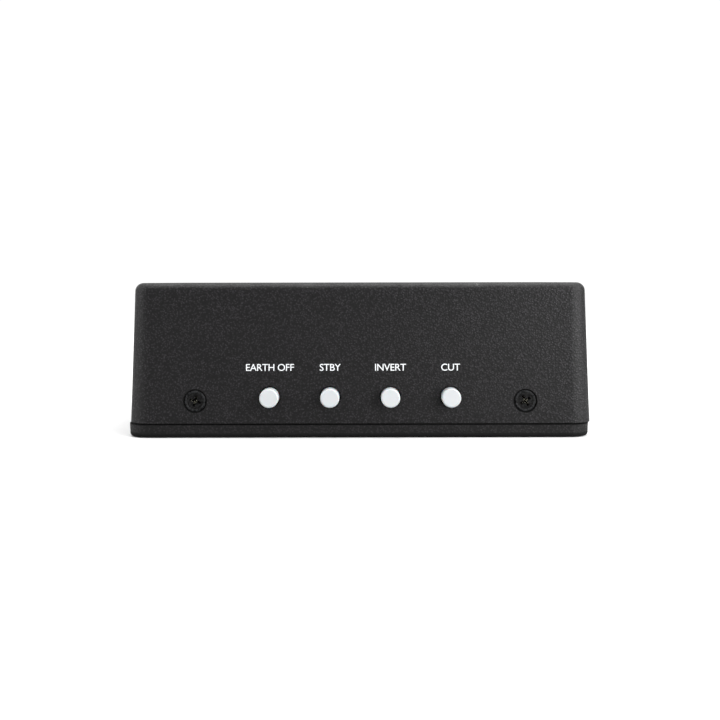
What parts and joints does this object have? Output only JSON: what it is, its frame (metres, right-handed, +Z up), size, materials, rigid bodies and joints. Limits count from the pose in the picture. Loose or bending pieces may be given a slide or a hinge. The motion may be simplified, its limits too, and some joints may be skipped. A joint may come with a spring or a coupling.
{
  "type": "direct injection box",
  "caption": "Die-cast audio direct box with push-buttons on the front, and jacks and a male three-pin output on the rear.",
  "frame": {"origin": "underside of the base lid, below the middle of the cast body", "axes": "+X along the length, +Y from the buttons to the rear connectors, +Z up"},
  "size_m": [0.1213, 0.0719, 0.0402],
  "materials": {
    "case_coat": "fine textured semi-matte black powder coat",
    "cap_white": "smooth off-white moulded plastic",
    "screw_black": "black oxide, worn at the recess",
    "nickel": "bright nickel plate",
    "zinc": "bright zinc plate",
    "brass_plate": "gold-flashed brass",
    "spring_steel": "drawn steel wire",
    "tin": "tinned copper",
    "black_nylon": "moulded black nylon",
    "grey_plastic": "moulded grey plastic",
    "connector_black": "satin black plated zinc casting",
    "board_green": "green solder mask on glass epoxy",
    "can_steel": "plated drawn steel",
    "core_iron": "stacked laminations",
    "copper_coil": "taped copper winding",
    "film_yellow": "moulded box",
    "sleeve_black": "shrunk sleeve",
    "lead_grey": "wire insulation"
  },
  "bodies": {
    "case": {"amplifier_chips": "black_nylon", "base_lid": "case_coat", "board_screws": "zinc", "board_spacers": "nickel", "case_body": "case_coat", "chip_resistors": "black_nylon", "electrolytic_capacitors": "sleeve_black", "film_capacitors": "film_yellow", "filter_spring": "spring_steel", "filter_switch_base": "grey_plastic", "filter_switch_housing": "black_nylon", "ground_spring": "spring_steel", "ground_switch_base": "grey_plastic", "ground_switch_housing": "black_nylon", "header_pins": "tin", "header_strip": "black_nylon", "input_jack_ferrule": "nickel", "input_jack_housing": "black_nylon", "jack_contacts": "brass_plate", "jack_nuts": "nickel", "jack_pins": "tin", "jack_washers": "nickel", "lid_screws": "screw_black", "main_board": "board_green", "mute_spring": "spring_steel", "mute_switch_base": "grey_plastic", "mute_switch_housing": "black_nylon", "output_contacts": "brass_plate", "output_insert": "black_nylon", "output_leads": "lead_grey", "output_screws": "screw_black", "output_shell": "connector_black", "panel_screws": "screw_black", "polarity_spring": "spring_steel", "polarity_switch_base": "grey_plastic", "polarity_switch_housing": "black_nylon", "switch_board": "board_green", "switch_terminals": "tin", "thru_jack_ferrule": "nickel", "thru_jack_housing": "black_nylon", "transformer_base": "black_nylon", "transformer_can": "can_steel", "transformer_coil": "copper_coil", "transformer_core": "core_iron", "transformer_pins": "tin"},
    "ground_button": {"ground_cap": "cap_white", "ground_plunger": "grey_plastic"},
    "mute_button": {"mute_cap": "cap_white", "mute_plunger": "grey_plastic"},
    "polarity_button": {"polarity_cap": "cap_white", "polarity_plunger": "grey_plastic"},
    "filter_button": {"filter_cap": "cap_white", "filter_plunger": "grey_plastic"}
  },
  "joints": [
    {"name": "ground_press", "type": "slide", "parent": "case", "child": "ground_button", "axis": [0, 1, 0], "range_m": [0, 0.0022], "stiffness_N_per_m": 600, "springref_m": -0.0025, "deforming": ["ground_spring"]},
    {"name": "mute_press", "type": "slide", "parent": "case", "child": "mute_button", "axis": [0, 1, 0], "range_m": [0, 0.0022], "stiffness_N_per_m": 600, "springref_m": -0.0025, "deforming": ["mute_spring"]},
    {"name": "polarity_press", "type": "slide", "parent": "case", "child": "polarity_button", "axis": [0, 1, 0], "range_m": [0, 0.0022], "stiffness_N_per_m": 600, "springref_m": -0.0025, "deforming": ["polarity_spring"]},
    {"name": "filter_press", "type": "slide", "parent": "case", "child": "filter_button", "axis": [0, 1, 0], "range_m": [0, 0.0022], "stiffness_N_per_m": 600, "springref_m": -0.0025, "deforming": ["filter_spring"]}
  ]
}
